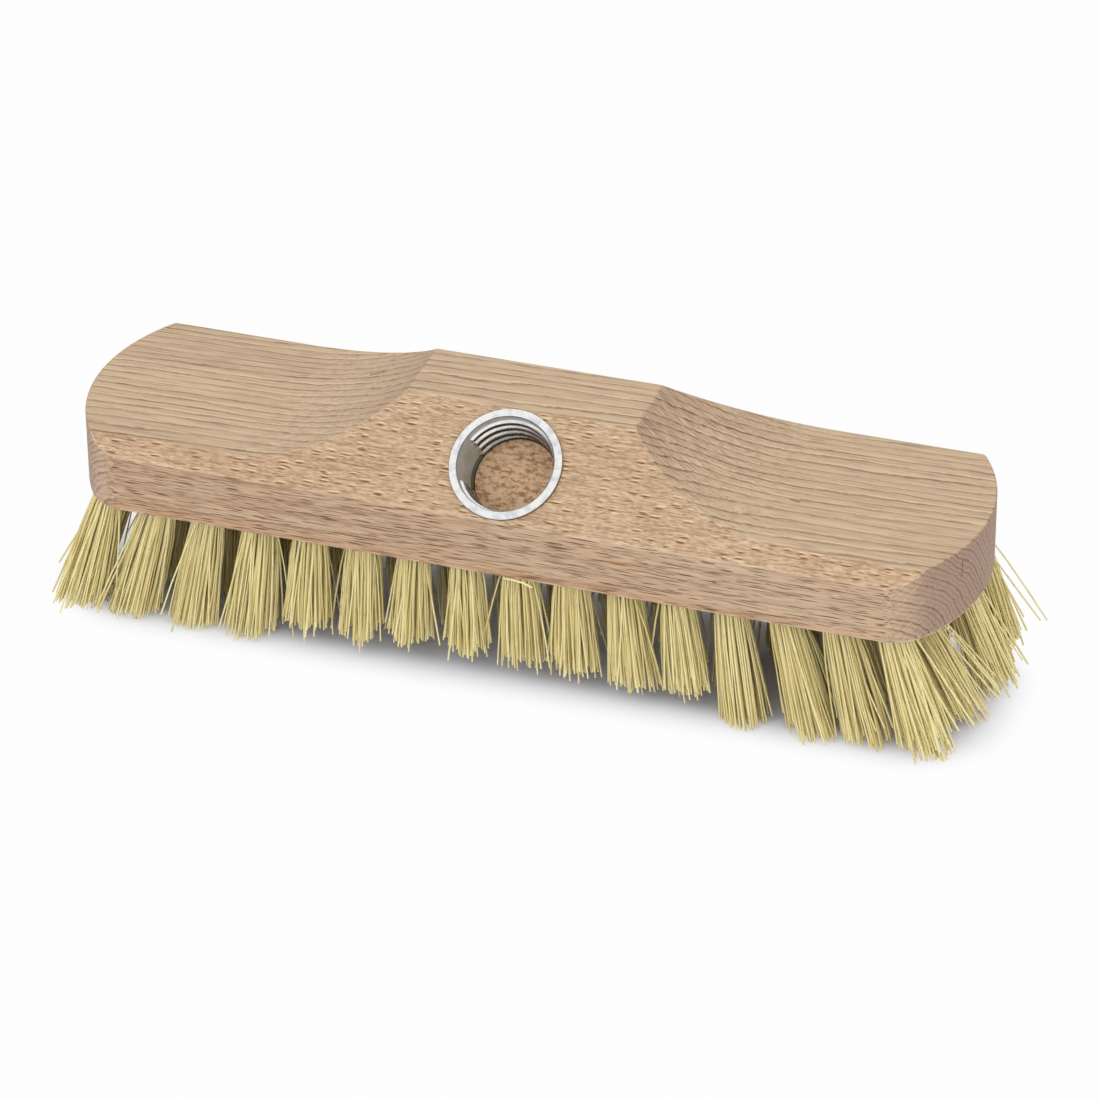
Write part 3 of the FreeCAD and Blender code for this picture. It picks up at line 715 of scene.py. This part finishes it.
def fibreMaterial():
    material, tree, shader = newMaterial("plantFibre", fibre["roughness"], specular=0.35)
    place = millimetres(tree)
    own = addNode(tree, "ShaderNodeAttribute", attribute_name="fibreTone").outputs["Fac"]
    odd = ramp(tree, calc(tree, "FRACT", product(tree, own, 7.0)), 0.72, 0.95)      # some fibres are darker
    along = streak(tree, place, (0.5, 0.5, 0.07), 1.8)
    spot = dash(tree, place, (1.0, 1.0, 0.4), 0.62, 0.74)
    spread = addNode(tree, "ShaderNodeSeparateXYZ", {0: vector(tree, "ABSOLUTE", place)}).outputs
    # painted shade: the fibres of the inner rows, under the block and between the outer rows, are made darker,
    # except near the ends
    innerShade = product(tree, ramp(tree, spread["Y"], 17.0, 10.0), ramp(tree, spread["X"], 96.0, 82.0))
    colour = blend(tree, own, fibre["middle"], fibre["pale"])
    colour = blend(tree, product(tree, innerShade, 0.2), colour, fibre["inner"])
    colour = blend(tree, product(tree, ramp(tree, along, 0.5, 0.9), 0.35), colour, fibre["deep"])
    colour = blend(tree, product(tree, odd, 0.4), colour, fibre["deep"])
    colour = blend(tree, product(tree, spot, 0.35), colour, fibre["deep"])
    tree.links.new(colour, shader.inputs["Base Color"])
    rough = calc(tree, "MULTIPLY_ADD", along, 0.3, fibre["roughness"] - 0.15)
    tree.links.new(rough, shader.inputs["Roughness"])
    relief(tree, shader, along, 0.04, 0.3)
    return material


plantFibre = fibreMaterial()


def addFibre(bm, layer, path, width, ownTone, turn):
    # a tube of flat sides along the path, closed at both ends
    rings = []
    for number, point in enumerate(path):
        ahead = (path[min(number + 1, len(path) - 1)] - path[max(number - 1, 0)]).normalized()
        sideways = ahead.cross(Vector((math.cos(turn), math.sin(turn), 0.3))).normalized()
        third = ahead.cross(sideways)
        ring = []
        for step in range(tuft["sides"]):
            angle = math.tau * step / tuft["sides"]
            outward = math.cos(angle) * sideways + math.sin(angle) * third
            vert = bm.verts.new((point + width / 2 * outward) * mm)
            vert[layer] = ownTone
            ring.append(vert)
        rings.append(ring)
    for first, second in zip(rings, rings[1:]):
        for step in range(tuft["sides"]):
            following = (step + 1) % tuft["sides"]
            bm.faces.new((first[step], first[following], second[following], second[step]))
    bm.faces.new(rings[0][::-1])
    bm.faces.new(rings[-1])


def aside(chance, along, across):
    # a chance offset, level with the mouth of the hole
    return Vector((chance.gauss(0, along), chance.gauss(0, across), 0))


def growTuft(bm, layer, rowName, column, chance):
    row, habit = tuftRows[rowName], habits[rowName]
    place, reach, splay = tuftPlace(row, column)
    steepness = place.col[2].z
    half = 0 if column * 2 < row["count"] else 1
    lean = aside(chance, *tuft["sway"])
    lean.x += habit["drift"][half] + abs(splay) * habit["sweep"][half]
    lowest = block["underside"] - reach + tuft["offFloor"] + abs(splay) * habit["lift"][half]
    hole = tuft["holeRadius"] - tuft["thickness"] / 2 - 0.05
    flare = math.tan(math.radians(habit["flare"])) * reach
    flare *= chance.uniform(0.95, 1.25) * (1 + 0.2 * abs(splay))
    spin = chance.uniform(0, math.tau)
    opening = chance.uniform(*tuft["opening"])
    locks = []
    for _ in range(tuft["locks"]):
        locks.append((aside(chance, tuft["lockSpread"], tuft["lockSpread"]), chance.gauss(0, tuft["lockTrim"])))
    for number in range(habit["fibres"]):
        share = min(math.sqrt((number + 0.5) / habit["fibres"]) + chance.gauss(0, 0.03), 1.0)
        turn = number * math.pi * (3 - math.sqrt(5)) + spin + chance.gauss(0, 0.1)
        outward = Vector((math.cos(turn), math.sin(turn), 0))
        bunch, trim = locks[int((turn % math.tau) / math.tau * len(locks))]
        root = outward * hole * share
        spread = outward * share * flare * chance.uniform(0.8, 1.15) + bunch * share
        stray = lean + aside(chance, *tuft["waver"])
        bow = aside(chance, tuft["bow"], tuft["bow"])
        wide = 0.0
        if chance.random() < tuft["astray"]:
            wide = chance.uniform(0, tuft["wide"]) * max(splay, splay * tuft["wideLeft"])
            stray += outward * chance.uniform(*tuft["astrayOut"]) + aside(chance, *tuft["astraySway"])
            stray.x += wide

        # every fibre is cut by itself, none below the floor
        cut = lowest + chance.gauss(0, tuft["ragged"]) + trim + abs(wide) * 1.2
        cut += chance.uniform(*tuft["wornBy"]) if chance.random() < tuft["worn"] else 0
        cut = max(cut, chance.uniform(*tuft["least"]))
        length = ((place @ (root + spread + stray)).z - cut) / steepness
        path = [place @ (root + Vector((0, 0, tuft["holeDepth"] - 1)))]
        for run in tuft["runs"]:
            point = root + spread * run ** opening + stray * run + bow * math.sin(math.pi * run)
            path.append(place @ (point - Vector((0, 0, length * run))))
        width = tuft["thickness"] * chance.uniform(*tuft["widths"])
        addFibre(bm, layer, path, width, chance.random(), chance.uniform(0, math.tau))


def makeTufts(name, node, rowNames, column, seed, loose=None):
    bm = bmesh.new()
    layer = bm.verts.layers.float.new("fibreTone")
    chance = random.Random(seed)
    for rowName in rowNames:
        growTuft(bm, layer, rowName, column, chance)
    if loose:
        addFibre(bm, layer, [Vector(point) for point in loose], tuft["thickness"] * 1.1, 1.0, 0.4)
    bmesh.ops.recalc_face_normals(bm, faces=bm.faces[:])
    piece = newPiece(name, bm, plantFibre)
    piece.data.shade_smooth()
    piece.data.set_sharp_from_angle(angle=math.radians(tuft["sharpFrom"]))
    standIn(piece, node)


for column in range(tuftRows["front"]["count"]):
    tag = f"{column + 1:02d}"
    loose = tuft["bent"] if column == tuft["bentColumn"] else None
    makeTufts(f"frontTuft{tag}", f"front_tuft_{tag}", ["front"], column, 100 + column, loose)
    makeTufts(f"rearTuft{tag}", f"rear_tuft_{tag}", ["rear"], column, 200 + column)
for column in range(tuftRows["innerFront"]["count"]):
    tag = f"{column + 1:02d}"
    makeTufts(f"innerTufts{tag}", f"inner_tufts_{tag}", ["innerFront", "innerRear"], column, 300 + column)
print("tufts ready")


# Anchor wires keep their shape, in bare wire

wire = {"dark": tone(150, 148, 142), "light": tone(192, 190, 184), "roughness": 0.35}
bareWire, wireTree, wireShader = newMaterial("bareWire", wire["roughness"], 1.0)
drawn = streak(wireTree, millimetres(wireTree), (2.0, 0.3, 2.0), 1.5)
wireTree.links.new(blend(wireTree, drawn, wire["dark"], wire["light"]), wireShader.inputs["Base Color"])
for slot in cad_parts["anchor_wires"].material_slots:
    slot.material = bareWire


# Floor, light and camera

studio = {
    "floor": 3.0, "white": (0.985, 0.985, 0.985, 1), "pale": (0.81, 0.83, 0.95, 1),
    "straight": (96.0, 6.0, 0.0), "round": 24.0,        # footprint of the brush, mm
    "clearFrom": -12.0, "clearTo": 5.0,                 # where the white begins and is full, mm
    "sky": 0.8, "aim": (0, 0, 0.04),
}
lamps = {
    "key": {"place": (-0.35, -0.95, 1.2), "size": 1.7, "power": 6.4},
    "fill": {"place": (0.75, -1.1, 0.72), "size": 1.6, "power": 3.8},
}


def seenDirectly(tree):
    paths = addNode(tree, "ShaderNodeLightPath").outputs
    seen = calc(tree, "ADD", paths["Is Camera Ray"], paths["Is Glossy Ray"])
    return calc(tree, "ADD", seen, paths["Is Transmission Ray"], clamp=True)


def floorMaterial():
    # plain white to the eye a little way off the brush, soft and shaded beneath it
    material = bpy.data.materials.new("paleFloor")
    material.use_nodes = True
    tree = material.node_tree
    tree.nodes.clear()
    place = vector(tree, "ABSOLUTE", vector(tree, "MULTIPLY", millimetres(tree), (1, 1, 0)))
    outside = vector(tree, "MAXIMUM", vector(tree, "SUBTRACT", place, studio["straight"]), (0, 0, 0))
    away = calc(tree, "SUBTRACT", vector(tree, "LENGTH", outside), studio["round"])
    clear = product(tree, ramp(tree, away, studio["clearFrom"], studio["clearTo"]), seenDirectly(tree))
    soft = addNode(tree, "ShaderNodeBsdfDiffuse", {"Color": studio["pale"]})
    white = addNode(tree, "ShaderNodeEmission", {"Color": studio["white"], "Strength": 1.0})
    mixed = addNode(tree, "ShaderNodeMixShader", {0: clear, 1: soft.outputs[0], 2: white.outputs[0]})

    # open from below, so that the underside of the brush can be looked at
    below = addNode(tree, "ShaderNodeNewGeometry").outputs["Backfacing"]
    unseen = addNode(tree, "ShaderNodeBsdfTransparent")
    floorShader = addNode(tree, "ShaderNodeMixShader", {0: below, 1: mixed.outputs[0], 2: unseen.outputs[0]})
    tree.links.new(floorShader.outputs[0], tree.nodes.new("ShaderNodeOutputMaterial").inputs["Surface"])
    return material


ground = bmesh.new()
bmesh.ops.create_grid(ground, x_segments=1, y_segments=1, size=studio["floor"])
floor = newPiece("floor", ground, floorMaterial())

world = bpy.data.worlds.new("studio")
bpy.context.scene.world = world
world.use_nodes = True
sky = world.node_tree
sky.nodes.clear()
dome = addNode(sky, "ShaderNodeBackground", {"Color": (1, 1, 1, 1), "Strength": studio["sky"]})
backdrop = addNode(sky, "ShaderNodeBackground", {"Color": studio["white"], "Strength": 1.0})
seen = {0: seenDirectly(sky), 1: dome.outputs[0], 2: backdrop.outputs[0]}
chosen = addNode(sky, "ShaderNodeMixShader", seen)
sky.links.new(chosen.outputs[0], sky.nodes.new("ShaderNodeOutputWorld").inputs["Surface"])

for name, setting in lamps.items():
    lamp = bpy.data.lights.new(name, "AREA")
    lamp.shape = "DISK"
    lamp.size = setting["size"]
    lamp.energy = setting["power"]
    holder = bpy.data.objects.new(name, lamp)
    holder.visible_glossy = False
    holder.location = setting["place"]
    aim = Vector(studio["aim"]) - Vector(setting["place"])
    holder.rotation_euler = aim.to_track_quat("-Z", "Y").to_euler()
    bpy.context.scene.collection.objects.link(holder)

camera = {
    "azimuth": 0.330, "elevation": 0.554, "roll": -0.008,
    "distance": 1.312, "target": (0.00352, 0.0, 0.02312), "lens": 177.25,
}
back = Vector((math.sin(camera["azimuth"]) * math.cos(camera["elevation"]),
               -math.cos(camera["azimuth"]) * math.cos(camera["elevation"]),
               math.sin(camera["elevation"])))
right = Vector((math.cos(camera["azimuth"]), math.sin(camera["azimuth"]), 0))
tilt = Matrix.Rotation(camera["roll"], 3, back)
basis = Matrix((tilt @ right, tilt @ back.cross(right), back)).transposed().to_4x4()
lens = bpy.data.cameras.new("camera")
lens.lens = camera["lens"]
lens.sensor_width = 36
lens.clip_end = 20
viewer = bpy.data.objects.new("camera", lens)
viewer.matrix_world = Matrix.Translation(Vector(camera["target"]) + camera["distance"] * back) @ basis
bpy.context.scene.collection.objects.link(viewer)
bpy.context.scene.camera = viewer
bpy.context.scene.view_settings.view_transform = "Standard"
print("studio ready")
